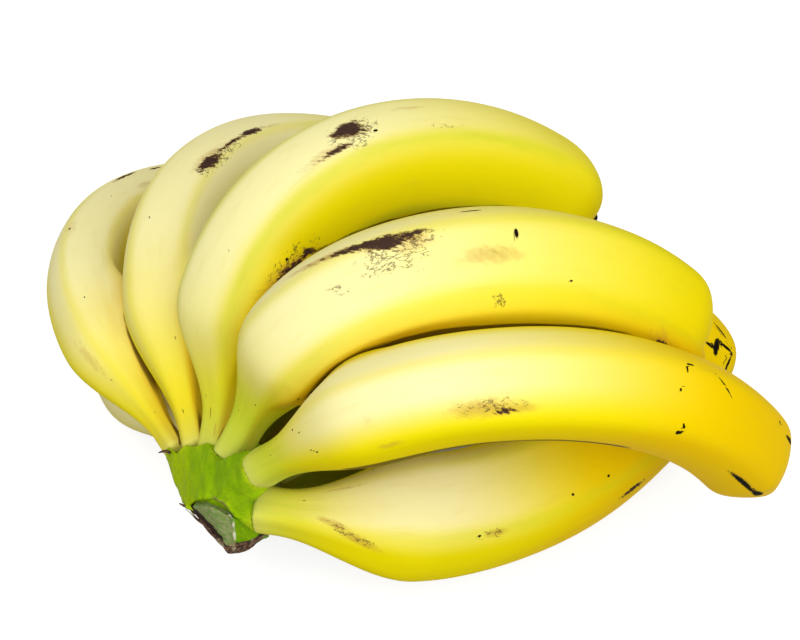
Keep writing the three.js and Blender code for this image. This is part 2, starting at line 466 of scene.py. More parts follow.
def peel_material(settings):
    """Ripe waxy peel: pale on one side with a painted sheen that is partly real bleaching, deep yellow
    elsewhere, with a green neck and marks.
    """
    paint = Paint("banana_peel")
    straight = paint.place("straight", (1, 1, 1))
    grain = paint.noise(paint.place("straight", (1, 1, 0.22)), 420, 3.0)
    fine = paint.noise(straight, 1500, 2.0)
    color = speckled(paint, settings, ripe_color(paint, settings, straight, grain))
    color, hurt = marked(paint, settings, color, straight)
    relief = fine * 0.25 + grain * 0.5 - hurt * 0.9
    return paint.finish(
        Base_Color=color,
        Roughness=hurt * 0.2 + (grain - 0.5) * 0.12 + 0.48,
        Normal=paint.bump(relief, 0.12 * MM, 0.7),
        Specular_IOR_Level=PEEL_GLOSS,
        IOR=WAXY,
    )


def crown_material(settings):
    """Green granular skin of the crown: yellower on its left, with deep green painted shade between the
    middle necks and dark olive painted shade on its inner side.
    """
    paint = Paint("crown_skin")
    place = paint.node("ShaderNodeTexCoord", None, (), "Object")
    cloud = paint.noise(place, 110, 3.0)
    pore = paint.noise(place, 1300, 3.0, 0.6)
    grain = paint.noise(place, 420, 4.0, 0.6)
    necks = paint.attribute("necks") + (cloud - 0.5) * 0.4
    corky = (paint.attribute("lip") + (grain - 0.5) * 1.6).step(0.55, 0.95)
    color = paint.mix((cloud - 0.35).step(0.0, 0.4), settings.crown_deep, settings.crown)
    color = paint.mix(paint.attribute("left") * 0.85, color, settings.crown_left)
    # Painted shade, deep green, between the middle necks.
    color = paint.mix(paint.attribute("shade") * 0.55, color, settings.crown_deep)
    color = paint.mix(necks.step(0.15, 0.95) * 0.75, color, settings.crown_pale)
    color = paint.mix((grain - 0.5).step(0.02, 0.2) * 0.25, color, settings.crown_pale)
    color = paint.mix((pore - 0.5).step(0.0, 0.16) * 0.6, color, settings.crown_deep)
    color = paint.mix(corky * 0.75, color, settings.cork)
    # Painted shade, dark olive, on the crown's inner side over the hollow of the hand.
    color = paint.mix(paint.attribute("inside") * 0.85, color, settings.olive_shade)
    return paint.finish(
        Base_Color=color,
        Roughness=corky * 0.25 + 0.46,
        Normal=paint.bump(pore * 0.5 + grain * 0.7, 0.6 * MM, 0.8),
        Specular_IOR_Level=CROWN_GLOSS,
        IOR=WAXY,
    )


def stub_material(settings):
    """The cut stub: grey-green dusty facet, fresh green facet, cream crack and brown sawn face."""
    paint = Paint("cut_stub")
    place = paint.node("ShaderNodeTexCoord", None, (), "Object")
    cloud = paint.noise(place, 160, 4.0, 0.6)
    fuzz = paint.noise(place, 800, 5.0, 0.7)
    dusty = paint.attribute("dusty")
    dark = paint.attribute("dark") + (fuzz - 0.5) * 1.2
    crack = paint.attribute("crack") + (fuzz - 0.5) * 0.3
    dead = (paint.attribute("sawn") + (fuzz - 0.5) * 0.7).step(0.35, 0.6)
    color = paint.mix((cloud - 0.4).step(0.0, 0.25), settings.crown_deep, settings.stub_fresh)
    color = paint.mix(dusty * 0.85, color, settings.stub)
    color = paint.mix((dusty * (fuzz - 0.42)).step(0.02, 0.14) * 0.6, color, settings.fibre)
    color = paint.mix(dark.step(0.45, 0.7), color, settings.dried_dark)
    color = paint.mix(crack.step(0.3, 0.6) * 0.9, color, settings.cream)
    bark = paint.mix(fuzz.step(0.4, 0.62), settings.dried_dark, settings.dried)
    bark = paint.mix((cloud - 0.5).step(0.02, 0.2) * 0.6, bark, settings.fibre)
    return paint.finish(
        Base_Color=paint.mix(dead, color, bark),
        Roughness=dead * 0.25 + 0.55,
        Normal=paint.bump(fuzz + cloud, 0.7 * MM, 0.9),
        Specular_IOR_Level=STUB_GLOSS,
        IOR=WAXY,
    )


def dried_material(settings):
    """Brown dead fibre along the cut."""
    paint = Paint("dried_fibre")
    place = paint.node("ShaderNodeTexCoord", None, (), "Object")
    strand = paint.noise(place, 900, 6.0, 0.75)
    patch = paint.noise(place, 330, 3.0)
    color = paint.mix(strand.step(0.42, 0.62), settings.dried_dark, settings.dried)
    return paint.finish(
        Base_Color=paint.mix((patch - 0.5).step(0.02, 0.14) * 0.7, color, settings.fibre),
        Roughness=0.8,
        Normal=paint.bump(strand, 0.6 * MM, 0.9),
        Specular_IOR_Level=FIBRE_GLOSS,
    )


# ---- mesh helpers -------------------------------------------------------------------------------


def merged_copy(node):
    """A bmesh copy of a CAD node whose loose triangles are joined at their corners."""
    bm = bmesh.new()
    bm.from_mesh(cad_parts[node].data)
    bmesh.ops.remove_doubles(bm, verts=bm.verts, dist=SAME_PLACE)
    return bm


def shade_smooth(mesh):
    mesh.polygons.foreach_set("use_smooth", [True] * len(mesh.polygons))


def new_piece(name, bm, material):
    """A finished piece in the scene, smooth shaded and riding on the one body."""
    mesh = bpy.data.meshes.new(name)
    bm.to_mesh(mesh)
    bm.free()
    mesh.materials.append(material)
    shade_smooth(mesh)
    piece = bpy.data.objects.new(name, mesh)
    bpy.context.scene.collection.objects.link(piece)
    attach(piece, "root")
    return piece


def apply_modifiers(piece):
    """Replaces the piece's mesh with the one that its modifiers make."""
    changed = piece.evaluated_get(bpy.context.evaluated_depsgraph_get())
    mesh = bpy.data.meshes.new_from_object(changed)
    piece.modifiers.clear()
    piece.data = mesh
    shade_smooth(mesh)


def read_vectors(data, field, count):
    """That field of a mesh's data, as an array with one row for each corner."""
    flat = np.empty(count * 3, np.float32)
    data.foreach_get(field, flat)
    return flat.reshape(-1, 3).astype(float)


def corners(mesh):
    """The places of the mesh's corners."""
    return read_vectors(mesh.vertices, "co", len(mesh.vertices))


def outward(mesh):
    """The outward direction at each corner."""
    return read_vectors(mesh.vertex_normals, "vector", len(mesh.vertices))


def fetch(mesh, name):
    """The vectors that were kept for each corner under that name."""
    return read_vectors(mesh.attributes[name].data, "vector", len(mesh.vertices))


def store(mesh, name, values):
    """Keeps a number or a vector for each corner, for the materials."""
    values = np.asarray(values, np.float32)
    kind, field = ("FLOAT", "value") if values.ndim == 1 else ("FLOAT_VECTOR", "vector")
    if name in mesh.attributes:
        mesh.attributes.remove(mesh.attributes[name])
    mesh.attributes.new(name, kind, "POINT").data.foreach_set(field, values.ravel())


def move_corners(mesh, places):
    mesh.vertices.foreach_set("co", np.asarray(places, np.float32).ravel())
    mesh.update()


def step(value, low, high):
    """0 below low, 1 above high and smooth between them."""
    share = np.clip((value - low) / (high - low), 0, 1)
    return share * share * (3 - 2 * share)


def band(value, start, end):
    """1 between the two pairs, and 0 outside them: it rises over the first and falls over the second."""
    return step(value, *start) * (1 - step(value, *end))


def near(value, width):
    """1 where the value is 0, and fading out over that width to both sides."""
    return np.exp(-((value / width) ** 2))


def turned(turn, degrees):
    """How far each angle is turned past that one, the short way round, in radians."""
    return (turn - math.radians(degrees) + math.pi) % (2 * math.pi) - math.pi


def edge_ends(mesh):
    """The corners at the two ends of every edge, and the number of edges at every corner."""
    pairs = np.empty(len(mesh.edges) * 2, np.int32)
    mesh.edges.foreach_get("vertices", pairs)
    a, b = pairs.reshape(-1, 2).T
    return a, b, np.bincount(np.r_[a, b], minlength=len(mesh.vertices))


def relax(mesh, times):
    """Evens the surface out, and swells it back after each pass so that it doesn't shrink."""
    a, b, count = edge_ends(mesh)
    places = corners(mesh)
    for weight in [0.5, -0.45] * times:
        total = np.zeros_like(places)
        np.add.at(total, a, places[b])
        np.add.at(total, b, places[a])
        places += weight * (total / count[:, None] - places)
    move_corners(mesh, places)


def soften(mesh, values, times):
    """Evens out one number for each corner with its neighbours'."""
    a, b, count = edge_ends(mesh)
    for _ in range(times):
        total = np.bincount(a, values[b], len(values)) + np.bincount(b, values[a], len(values))
        values = (values + total / count) / 2
    return values


# ---- one finger ---------------------------------------------------------------------------------

# Stretches of a finger, in shares of its length: each begins over the first pair and ends over the
# second.
BODY = ((0.12, 0.3), (0.9, 1.0))
SLIM = ((0.02, 0.08), (0.18, 0.36))
GREEN_LINES = ((0.08, 0.3), (0.7, 0.95))
NECK_ENDS = (0.02, 0.25)
BODY_TOUCHES = (0.1, 0.22)  # where fingers begin to be pressed together
END_SWINGS = (0.5, 0.85)  # where the end begins to turn to the right

PEEL_RADIUS = 17 * MM  # of a usual finger: the unrolled peel is laid out round it
PRESS_REACH = 5 * MM  # fingers nearer than this are pressed together
SHADE_REACH = 25 * MM  # fingers nearer than this shade each other
SHADE_LEAN = 0.45  # how far the rays that feel for shade lean from the outward one
DRY_TIP = 6 * MM  # length of the dry tip
BLUNT_END = 30 * MM  # length of the end that leans with the tip


class Rings:
    """The rings of a CAD finger, from its foot to its tip, each with its corners in turn."""

    def __init__(self, bm, toward):
        poles = [v for v in bm.verts if len(v.link_edges) == SIDES]
        foot = min(poles, key=lambda v: (v.co - toward).length)
        self.ring = {foot: 0}
        layers = [[foot]]
        while layers[-1]:
            following = []
            for vert in layers[-1]:
                for edge in vert.link_edges:
                    other = edge.other_vert(vert)
                    if other not in self.ring:
                        self.ring[other] = len(layers)
                        following.append(other)
            layers.append(following)
        layers.pop()
        self.layers = layers[1:-1]
        self.tip = layers[-1][0]
        self.centres = [sum((v.co for v in layer), Vector()) / SIDES for layer in self.layers]
        self.number_columns()
        self.distances = [0.0]
        for before, after in zip(self.centres, self.centres[1:]):
            self.distances.append(self.distances[-1] + (after - before).length)

    def number_columns(self):
        """Gives each corner its column: they start at the ridge that is on top at half length."""
        self.column = {}
        before = None
        for i, layer in enumerate(self.layers):
            ahead = self.centres[min(i + 1, len(self.centres) - 1)]
            behind = self.centres[max(i - 1, 0)]
            forward = (ahead - behind).normalized()
            if before is None:
                side = layer[0].co - self.centres[0]
            else:
                side = before - self.centres[i - 1]
            side = (side - forward * side.dot(forward)).normalized()
            other = side.cross(forward)
            for vert in layer:
                arm = vert.co - self.centres[i]
                turn = math.atan2(arm.dot(other), arm.dot(side)) / (2 * math.pi)
                self.column[vert] = round(turn * SIDES) % SIDES
            first = [vert for vert in layer if self.column[vert] == 0][0]
            before = first.co.copy()
        half = len(self.layers) // 2
        around = {self.column[vert]: vert.co - self.centres[half] for vert in self.layers[half]}
        apart = SIDES // RIDGES
        reach = [sum(around[c].length for c in range(k, SIDES, apart)) for k in range(apart)]
        ridges = range(reach.index(max(reach)), SIDES, apart)
        top = max(ridges, key=lambda c: around[c].z)
        self.column = {vert: (column - top) % SIDES for vert, column in self.column.items()}

    def unroll(self, straight):
        """Writes into that layer how each corner is turned round the finger and how far along it is."""
        for layer, distance in zip(self.layers, self.distances):
            for vert in layer:
                turn = 2 * math.pi * self.column[vert] / SIDES
                vert[straight] = Vector((math.cos(turn), math.sin(turn), distance))
        self.tip[straight] = Vector((0, 0, self.distances[-1]))

    def diagonals(self, bm):
        """The edges that halve the four-sided faces between two rings."""
        found = []
        for edge in bm.edges:
            a, b = edge.verts
            if a in self.column and b in self.column:
                if self.ring[a] != self.ring[b] and self.column[a] != self.column[b]:
                    found.append(edge)
        return found


def crown_middle():
    """The point in which the axes of all the necks meet."""
    rough = (Vector(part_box("crown")[0]) + Vector(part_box("crown")[1])) / 2
    total, moment = np.zeros((3, 3)), np.zeros(3)
    for node in OUTER_ROW + INNER_ROW:
        bm = merged_copy(node)
        rings = Rings(bm, rough)
        foot = np.array(rings.centres[0])
        a, b = (np.array(v.co) for v in (rings.layers[0][0], rings.layers[0][5]))
        axis = np.cross(a - foot, b - foot)
        axis /= np.linalg.norm(axis)
        across = np.eye(3) - np.outer(axis, axis)
        total += across
        moment += across @ foot
        bm.free()
    return Vector(np.linalg.solve(total, moment))


MIDDLE = crown_middle()


class Finger:
    """A finger while it is shaped: its piece, its corners' places, and how far along the finger and how
    far round it each corner lies."""

    def __init__(self, node, material, levels):
        bm = merged_copy(node)
        straight = bm.verts.layers.float_vector.new("straight")
        rings = Rings(bm, MIDDLE)
        rings.unroll(straight)
        bmesh.ops.dissolve_edges(bm, edges=rings.diagonals(bm))
        centres = np.array([tuple(c) for c in rings.centres])
        self.distances = np.array(rings.distances)
        self.foot_way = np.array((rings.centres[0] - MIDDLE).normalized())
        self.tip_way = np.array((rings.centres[-1] - rings.centres[-2]).normalized())
        self.tip = np.array(rings.tip.co)
        self.piece = new_piece("banana_" + node, bm, material)
        smooth = self.piece.modifiers.new("smooth", "SUBSURF")
        smooth.levels = smooth.render_levels = levels
        apply_modifiers(self.piece)

        self.node = node
        self.look = LOOKS[node]
        self.length = self.distances[-1]
        self.mesh = self.piece.data
        unrolled = fetch(self.mesh, "straight")
        self.turn = np.arctan2(unrolled[:, 1], unrolled[:, 0])
        self.along = np.clip(unrolled[:, 2], 0, self.length)
        self.share = self.along / self.length
        self.ridge = np.cos(RIDGES * self.turn)
        self.spine = np.stack([np.interp(self.along, self.distances, centres[:, i]) for i in range(3)], 1)
        self.places = corners(self.mesh)
        self.arm = self.places - self.spine

    def grow(self, settings):
        """Firms up the ridges, waves the body a little, flares the neck and sets its foot in the crown."""
        seed = sum(map(ord, self.node)) % 17
        share, turn, along = self.share, self.turn, self.along
        wave = 0.010 * np.sin(share * 9 + seed) * np.cos(turn + seed)
        wave += 0.006 * np.sin(share * 23 + 2 * seed) * np.cos(2 * turn - seed)
        firm = self.ridge + 0.35 * np.cos(2 * RIDGES * turn)
        growth = 1 + band(share, *BODY) * (settings.ridge * firm + wave)
        growth += (1 - step(share, *NECK_ENDS)) * 0.03 * self.ridge
        growth += settings.flare * np.exp(-along / settings.flare_reach)
        growth -= self.look.slim * band(share, *SLIM)
        self.places = self.spine + self.arm * growth[:, None]
        sink = self.look.sink * MM
        self.places -= np.outer(sink * (1 - step(along, 0, 2 * MM + 2 * sink)), self.foot_way)

    def press(self):
        """Lets it grow against the fingers that lie close."""
        gap, target = nearest_neighbour(self.node, self.places)
        pressed = 0.5 * (1 - step(gap, 2 * MM, PRESS_REACH)) * step(self.share, *BODY_TOUCHES)
        self.places += pressed[:, None] * (target - self.places)

    def end(self, settings):
        """Lets the dry remains of the flower stand out of the tip, and the end lean and turn aside."""
        from_tip = self.places - self.tip
        ahead = from_tip @ self.tip_way
        off_axis = np.linalg.norm(from_tip - np.outer(ahead, self.tip_way), axis=1)
        near_tip = self.along > self.length - DRY_TIP
        nub = near_tip * (1 - step(off_axis, 1.8 * MM, 3.4 * MM))
        degrees, slant = self.look.slant
        miss = np.abs(turned(self.turn, degrees)) + 30 * np.abs(self.along - self.distances[-3])
        leaning = self.arm[np.argmin(miss)]
        leaning = leaning / np.linalg.norm(leaning)
        blunt = 1 - step(off_axis, 2 * MM, 17 * MM)
        blunt *= (self.along > self.length - BLUNT_END) * step(ahead, -20 * MM, 0)
        self.places += np.outer(blunt * slant * MM, leaning)
        self.places += np.outer(nub * settings.nub, self.tip_way)
        self.places[:, 0] += self.look.swing * MM * step(self.share, *END_SWINGS)
        move_corners(self.mesh, self.places)
        dry = np.clip(nub * 1.4, 0, 1) + near_tip * 0.6 * (1 - step(off_axis, 2.5 * MM, 5.5 * MM))
        store(self.mesh, "tip", dry)

    def swell(self):
        """Swells it towards the finger that lies on it, and keeps painted shade where the two meet and
        where the next one shelters it.
        """
        self.out = outward(self.mesh)
        facing, shaded = shelter(self.node, self.places, self.out)
        # Painted shade where the next finger lies close in front.
        contact_shade = soften(self.mesh, 1 - step(facing, 2 * MM, 7.5 * MM), 2)
        store(self.mesh, "contact_shade", np.maximum(contact_shade, self.contact_shade_line()))
        store(self.mesh, "shaded", soften(self.mesh, shaded, 4))
        swell = 0.5 * facing * (1 - step(facing, 7 * MM, 16 * MM)) * step(self.share, 0.1, 0.25)
        move_corners(self.mesh, self.places + self.out * soften(self.mesh, swell, 10)[:, None])

    def contact_shade_line(self):
        """The painted shade line along which the next finger lies against this one: sharp in front and soft
        behind.
        """
        if self.node not in CONTACT_SHADE_LINES:
            return np.zeros(len(self.turn))
        far, angle = np.array(CONTACT_SHADE_LINES[self.node]).T
        along = self.along / MM
        past = np.radians(np.degrees(self.turn) % 360 - np.interp(along, far, angle)) * PEEL_RADIUS / MM
        line = near(np.clip(past, 0, None), 1) * step(past, -12, -8)
        return line * band(along, (far[0] - 6, far[0] + 4), (far[-1] - 10, far[-1] + 6))

    def color(self):
        """Keeps the fields from which the material colours the peel."""
        look, mesh, share, along = self.look, self.mesh, self.share, self.along
        unrolled = PEEL_RADIUS * np.cos(self.turn), PEEL_RADIUS * np.sin(self.turn), along
        store(mesh, "straight", np.stack(unrolled, 1))
        aside = np.degrees(np.abs(turned(self.turn, look.face)))
        sheen_side = 1 - step(aside, 0.35 * look.spread, 0.95 * look.spread)
        span = band(share, look.wake, look.fade)
        sharp = np.clip(self.ridge, 0, 1) ** 4
        # Pale face of each finger: painted sheen, partly real bleaching, weaker on the ridges.
        store(mesh, "bleach_and_sheen", (sheen_side * span) ** 2 * (1 - 0.35 * sharp))
        # Facing down, the peel turns warmer: painted shade on the underside. Ripening towards the end and
        # the foot also add warmth.
        under = 1 - step(self.out[:, 2], -0.9, 0.1)
        warm = look.gold * step(share, *look.ripe) + 0.45 * under + 0.35 * (1 - step(share, 0, 0.15))
        store(mesh, "warm", np.clip(warm, 0, 1))
        green = look.green * (1 - step(along, 0.1 * look.neck * MM, look.neck * MM))
        lines = sharp * (1 - 0.4 * sheen_side * span) * band(share, *GREEN_LINES)
        store(mesh, "green", green + look.fresh + (0.1 + 2.4 * look.fresh) * lines)
        # Painted shade on the inner necks, fading along them.
        store(mesh, "olive_shade", look.olive_shade * (1 - step(share, 0.15, 0.6)))
        pale_foot = look.olive_shade == 0
        store(mesh, "foot", np.exp(-along / (5 * MM)) * pale_foot)

    def mark(self):
        """Keeps the soft fields from which the material draws the marks. For a crack it keeps the place
        in the nearest one, measured in that crack's half length and half width."""
        fields = {kind: np.zeros(len(self.turn)) for kind in ("bruise", "scar", "lace")}
        crack = np.full((len(self.turn), 3), 9.0)
        nearest = np.full(len(self.turn), 4.0)
        for mark in MARKS[self.node]:
            u = self.along - mark.along * MM
            v = turned(self.turn, mark.round) * PEEL_RADIUS
            c, s = math.cos(math.radians(mark.lean)), math.sin(math.radians(mark.lean))
            u, v = (u * c + v * s) / (mark.long * MM), (v * c - u * s) / (mark.wide * MM)
            reach = np.hypot(u, v)
            if mark.kind == "crack":
                inside = reach < nearest
                crack[inside] = np.stack([u, v, 0 * u], 1)[inside]
                nearest = np.minimum(nearest, reach)
            else:
                field = fields[mark.kind]
                np.maximum(field, mark.strength * (1 - step(reach, 0.0, 1.8)), out=field)
        for kind, values in fields.items():
            store(self.mesh, kind, values)
        store(self.mesh, "crack", crack)


def make_finger(node, material, levels, settings):
    """A banana finger round the CAD one: finer, with firmer ridges, a flared neck and a dry tip."""
    finger = Finger(node, material, levels)
    finger.grow(settings)
    finger.press()
    finger.end(settings)
    finger.swell()
    finger.color()
    finger.mark()
    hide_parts(node)


def nearest_neighbour(node, places):
    """For every corner of a finger, the nearest place on another finger and how far away that is."""
    gap = np.full(len(places), PRESS_REACH)
    target = places.copy()
    low, high = (np.array(corner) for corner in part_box(node))
    for other in OUTER_ROW + INNER_ROW:
        other_low, other_high = (np.array(corner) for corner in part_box(other))
        other_low, other_high = other_low - PRESS_REACH, other_high + PRESS_REACH
        if other == node or np.any(other_low > high) or np.any(low > other_high):
            continue
        bm = merged_copy(other)
        tree = BVHTree.FromBMesh(bm)
        close = np.all((places > other_low) & (places < other_high), axis=1)
        for i in np.flatnonzero(close):
            found = tree.find_nearest(Vector(places[i]), gap[i])
            if found[3] is not None:
                gap[i] = found[3]
                target[i] = found[0]
        bm.free()
    return gap, target


def shelter(node, places, out):
    """How far in front of each corner the finger that lies on this one is, and how much of the space
    before it such fingers fill. Each finger of a row lies on the one before it."""
    facing = np.full(len(places), SHADE_REACH)
    filled = np.zeros(len(places))
    row = OUTER_ROW if node in OUTER_ROW else INNER_ROW
    above = row[row.index(node) + 1 :]
    if not above:
        return facing, filled
    bm = bmesh.new()
    for other in above:
        bm.from_mesh(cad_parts[other].data)
    tree = BVHTree.FromBMesh(bm)
    bm.free()
    leans = [Vector(lean) * SHADE_LEAN for lean in ((1, 1, 1), (1, -1, -1), (-1, 1, -1), (-1, -1, 1))]
    for i, (place, way) in enumerate(zip(places, out)):
        place, way = Vector(place), Vector(way)
        for lean in (Vector(), *leans):
            far = tree.ray_cast(place, way + lean, SHADE_REACH)[3]
            if far is not None:
                filled[i] += 1 - far / SHADE_REACH
                if not lean.length:
                    facing[i] = far
    return facing, filled / (1 + len(leans))


# ---- the crown ----------------------------------------------------------------------------------

FRONT = np.array((0, -0.8, 0.6))  # the way that the lip over the stub faces
UP = np.array((0, 0.6, 0.8))  # across the lip, towards the necks
SKIN_GRAIN = 0.6  # millimetres across the small faces of the crown's skin
STUB_GRAIN = 0.5  # and of the stub's
SKIN_OVER_FOOT = 0.7  # millimetres by which the skin still rises round the foot of a neck
LIP_STEP = 4.5  # millimetres from the lip down to the stub under it


def from_middle(corner):
    return MIDDLE + Vector(corner) * MM


def hull(points):
    """The closed solid stretched over these points."""
    bm = bmesh.new()
    for point in points:
        bm.verts.new(point)
    made = bmesh.ops.convex_hull(bm, input=bm.verts)
    spare = {v for v in made["geom_interior"] + made["geom_unused"] if isinstance(v, bmesh.types.BMVert)}
    bmesh.ops.delete(bm, geom=list(spare), context="VERTS")
    bmesh.ops.recalc_face_normals(bm, faces=bm.faces)
    return bm


def fused(piece, size):
    """Gives the piece an even skin of small faces, that many millimetres across."""
    remesh = piece.modifiers.new("even", "REMESH")
    remesh.mode = "VOXEL"
    remesh.voxel_size = size * MM
    apply_modifiers(piece)


def distance_to_path(points, path):
    """How far each point is from a line of straight pieces."""
    best = np.full(len(points), np.inf)
    path = np.array(path, float)
    for a, b in zip(path, path[1:]):
        along = np.clip((points - a) @ (b - a) / ((b - a) @ (b - a)), 0, 1)
        best = np.minimum(best, np.linalg.norm(points - a - along[:, None] * (b - a), axis=1))
    return best


def bumps(points, size, seed):
    """Smooth unevenness between -1 and 1, its lumps about this many millimetres wide."""
    shift = Vector((seed * 7.3, seed * 3.1, seed * 5.7))
    return np.array([noise.noise(Vector(p) / size + shift) for p in points])


class Foot(NamedTuple):
    """Where a neck meets the crown."""

    middle: Vector
    way: Vector  # out of the crown, along the neck
    radius: float
    back: float  # how far the crown's skin draws back from it


def neck_feet():
    """The feet of all the necks."""
    feet = []
    for node in OUTER_ROW + INNER_ROW:
        bm = merged_copy(node)
        rings = Rings(bm, MIDDLE)
        middle = rings.centres[0].copy()
        radius = (rings.layers[0][0].co - middle).length
        back = (LOOKS[node].sink - SKIN_OVER_FOOT) * MM
        feet.append(Foot(middle, (middle - MIDDLE).normalized(), radius, back))
        bm.free()
    return feet


def skin_solid(feet, seat):
    """The solid that is stretched over the feet, each on a seat wider than itself, and the corners."""
    points = [from_middle(corner) for corner in SKIN_CORNERS]
    for foot in feet:
        side = foot.way.orthogonal().normalized() * foot.radius * seat
        points += [foot.middle + Matrix.Rotation(i * math.pi / 8, 3, foot.way) @ side for i in range(16)]
    return hull(points)


def draw_back(mesh, feet):
    """Draws the skin back from each neck, so that the neck stands on it and not in it, and keeps how
    close each corner is to a neck."""
    places = corners(mesh)
    close = np.full(len(places), np.inf)
    for foot in feet:
        arm = places - np.array(foot.middle)
        ahead = arm @ np.array(foot.way)
        aside = np.linalg.norm(arm - np.outer(ahead, foot.way), axis=1) / foot.radius
        room = ahead + foot.back
        hold = np.clip(room, 0, None) * (1 - step(aside, 1.25, 2.2))
        places -= np.outer(hold, foot.way)
        close = np.minimum(close, np.maximum(aside - 1, 0) * foot.radius + np.abs(room))
    move_corners(mesh, places)
    store(mesh, "necks", np.exp(-close / (2.2 * MM)))


def turn_lip(mesh):
    """Ends the skin in front in a bumpy lip, under which the stub comes out."""
    offset = (corners(mesh) - np.array(MIDDLE)) / MM
    lips = np.array(LIP, float)
    lip_rise = np.interp(offset[:, 0], lips[:, 0], lips @ UP)
    under = step(lip_rise - offset @ UP, 0, 0.7) * step(offset @ FRONT, -4, 0)
    offset -= np.outer(under * LIP_STEP, FRONT)
    flat = np.eye(3) - np.outer(FRONT, FRONT)
    lip = distance_to_path(offset @ flat, lips @ flat)
    height = 0.35 * bumps(offset, 5, 1) + 0.18 * bumps(offset, 2.2, 2)
    height += 0.6 * near(lip, 1.5) * (0.3 + 1.2 * bumps(offset, 1.6, 3))
    height -= 0.8 * near(offset[:, 0] - 2, 2.2) * step(offset @ FRONT, 2, 8)
    move_corners(mesh, np.array(MIDDLE) + (offset + outward(mesh) * height[:, None]) * MM)

    right, back, rise = offset.T
    facing = offset @ FRONT
    store(mesh, "lip", near(lip, 1.1) * band(right, (-1, 2), (6, 9)) * step(facing, -2, 2))
    # The crown's inner side, which the material darkens with painted shade.
    store(mesh, "inside", step(right - 0.6 * rise, 16, 22) * step(-facing, -4, 4))
    store(mesh, "left", step(-right - 0.35 * rise, -2, 9))
    store(mesh, "shade", near(right - 3, 7) * near(back - 4, 9))


def make_crown_skin(material, settings):
    """The green skin from which the necks come, with a soft lip over the stub."""
    feet = neck_feet()
    piece = new_piece("crown_skin", skin_solid(feet, settings.seat), material)
    fused(piece, SKIN_GRAIN)
    relax(piece.data, settings.crown_softness)
    draw_back(piece.data, feet)
    relax(piece.data, 6)
    turn_lip(piece.data)
    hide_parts("crown")


def make_stub(material):
    """The wedge that was cut from the stalk: two green facets, a pale crack and a dry cut face."""
    piece = new_piece("cut_stub", hull([from_middle(c) for c in STUB_TOP + CUT_EDGE + CUT_UNDER]), material)
    fused(piece, STUB_GRAIN)
    mesh = piece.data
    relax(mesh, 2)
    offset = (corners(mesh) - np.array(MIDDLE)) / MM
    out = outward(mesh)
    face = np.cross(np.subtract(CUT_EDGE[0], CUT_EDGE[-1]), np.subtract(CUT_UNDER[1], CUT_EDGE[0]))
    cut_edge = np.array(CUT_EDGE, float)
    below = np.interp(offset[:, 0], cut_edge[:, 0], cut_edge @ UP) - offset @ UP
    sawn = step(out @ face / np.linalg.norm(face), 0.6, 0.85) * step(below, -0.4, 0.6)
    edge = distance_to_path(offset, CUT_EDGE)
    crack = distance_to_path(offset + 0.25 * bumps(offset, 2, 4)[:, None], SPLIT)
    hollow = np.clip(distance_to_path(offset, CUT_EDGE + CUT_UNDER + CUT_EDGE[:1]) / 4, 0, 1)
    height = (1 - sawn) * (0.35 * bumps(offset, 3, 5) + 0.2 * bumps(offset, 1.2, 6))
    height += sawn * (0.6 * bumps(offset, 1.4, 7) + 0.3 * bumps(offset, 0.7, 8) - 1.2 * hollow)
    height += 0.35 * near(crack, 0.5) - 0.5 * near(crack - 1.2, 1)
    move_corners(mesh, np.array(MIDDLE) + (offset + out * height[:, None]) * MM)
    right = offset[:, 0]
    store(mesh, "sawn", np.maximum(sawn, near(edge, 1.1)))
    store(mesh, "crack", near(crack, 0.6) * (1 - sawn))
    store(mesh, "dusty", step(-right, -8.6, -7) * (1 - sawn))
    store(mesh, "dark", near(edge - 2, 2.2) * step(-right, -6, -3) * (1 - sawn))


def strands(name, lines, material):
    """Tapering fibres: each line has its points in millimetres from the crown's middle, and a radius."""
    curve = bpy.data.curves.new(name, "CURVE")
    curve.dimensions = "3D"
    curve.bevel_depth = MM
    curve.bevel_resolution = 2
    curve.use_fill_caps = True
    for points, radius in lines:
        spline = curve.splines.new("POLY")
        spline.points.add(len(points) - 1)
        for i, (target, point) in enumerate(zip(spline.points, points)):
            target.co = (*from_middle(point), 1)
            share = i / (len(points) - 1)
            target.radius = radius * (0.15 + 0.85 * math.sin(math.pi * min(share * 1.06 + 0.02, 1)) ** 0.5)
    rope = bpy.data.objects.new(name, curve)
    bpy.context.scene.collection.objects.link(rope)
    bpy.context.view_layer.update()
    mesh = bpy.data.meshes.new_from_object(rope.evaluated_get(bpy.context.evaluated_depsgraph_get()))
    bpy.data.objects.remove(rope)
    bm = bmesh.new()
    bm.from_mesh(mesh)
    bmesh.ops.remove_doubles(bm, verts=bm.verts, dist=SAME_PLACE)
    bmesh.ops.recalc_face_normals(bm, faces=bm.faces)
    new_piece(name, bm, material)


def along_path(path, share):
    """The point at a share of a line of straight pieces."""
    path = [Vector(p) for p in path]
    lengths = [(b - a).length for a, b in zip(path, path[1:])]
    left = share * sum(lengths)
    for a, b, length in zip(path, path[1:], lengths):
        if left <= length or b is path[-1]:
            return a.lerp(b, min(left / length, 1))
        left -= length


# Tufts that stick out at the ends of the cut's edge and in its middle: share of the edge, and length.
TUFTS = [(0, 2.2), (0.01, 1.5), (0.02, 2.8), (0.45, 1.2), (0.97, 1.2), (1, 1.8)]


